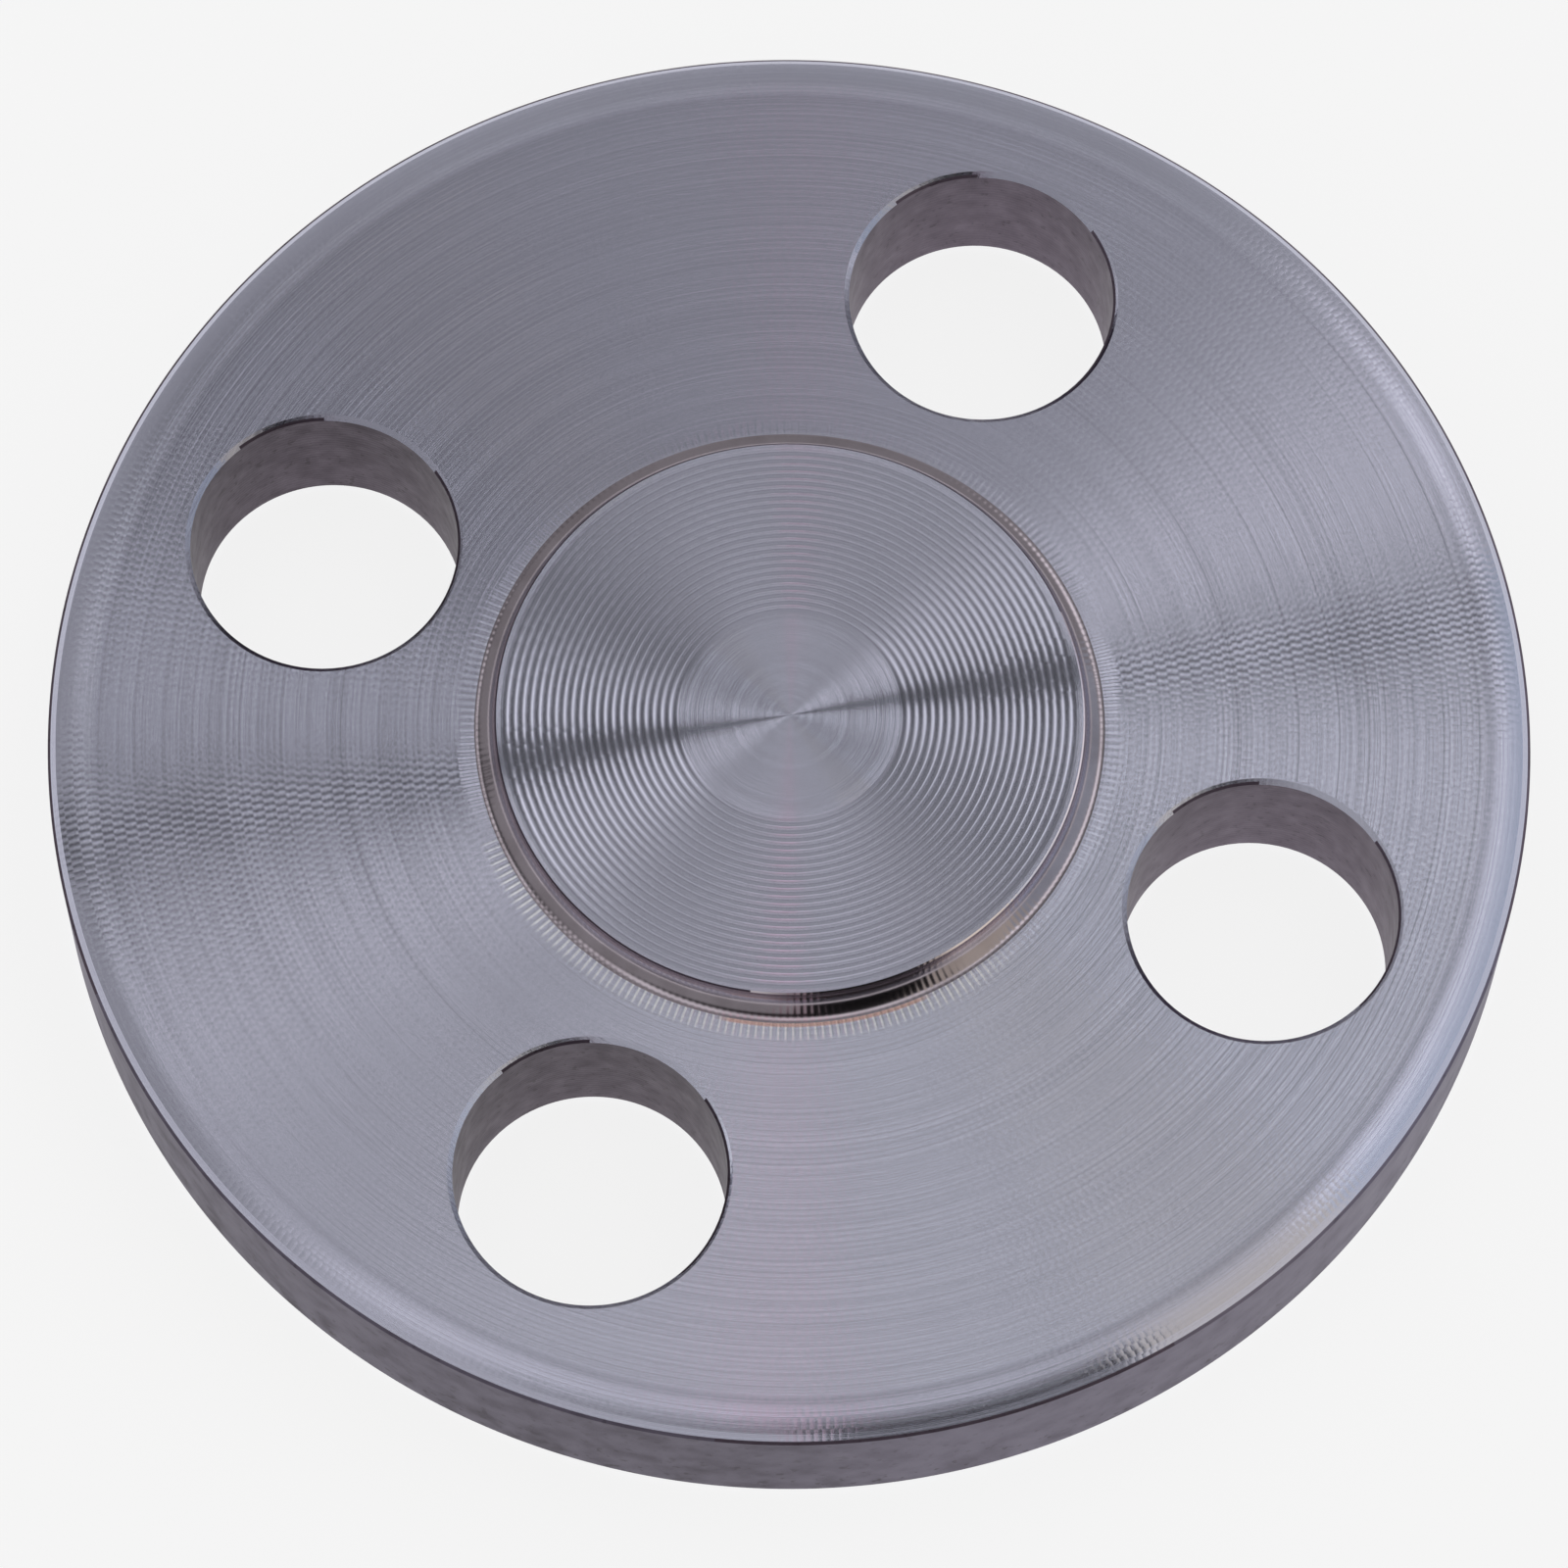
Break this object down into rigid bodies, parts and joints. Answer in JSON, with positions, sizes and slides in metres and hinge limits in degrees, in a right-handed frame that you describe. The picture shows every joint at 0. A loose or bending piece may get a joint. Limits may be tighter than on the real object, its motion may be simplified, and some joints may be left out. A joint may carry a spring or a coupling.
{
  "type": "blind flange",
  "caption": "Round blind flange: a thick disc with a raised, finely grooved gasket face, a cove at its foot and plain bolt holes through the plate.",
  "frame": {"origin": "centre of the flat back face, which the part lies on", "axes": "+Z along the pipe axis, out of the raised gasket face; the bolt holes straddle the X and Y axes, at 45 degrees to them"},
  "size_m": [0.088, 0.088, 0.0122],
  "materials": {
    "stainless_steel": "turned, satin"
  },
  "bodies": {
    "root": {"blind_flange": "stainless_steel"}
  },
  "joints": []
}
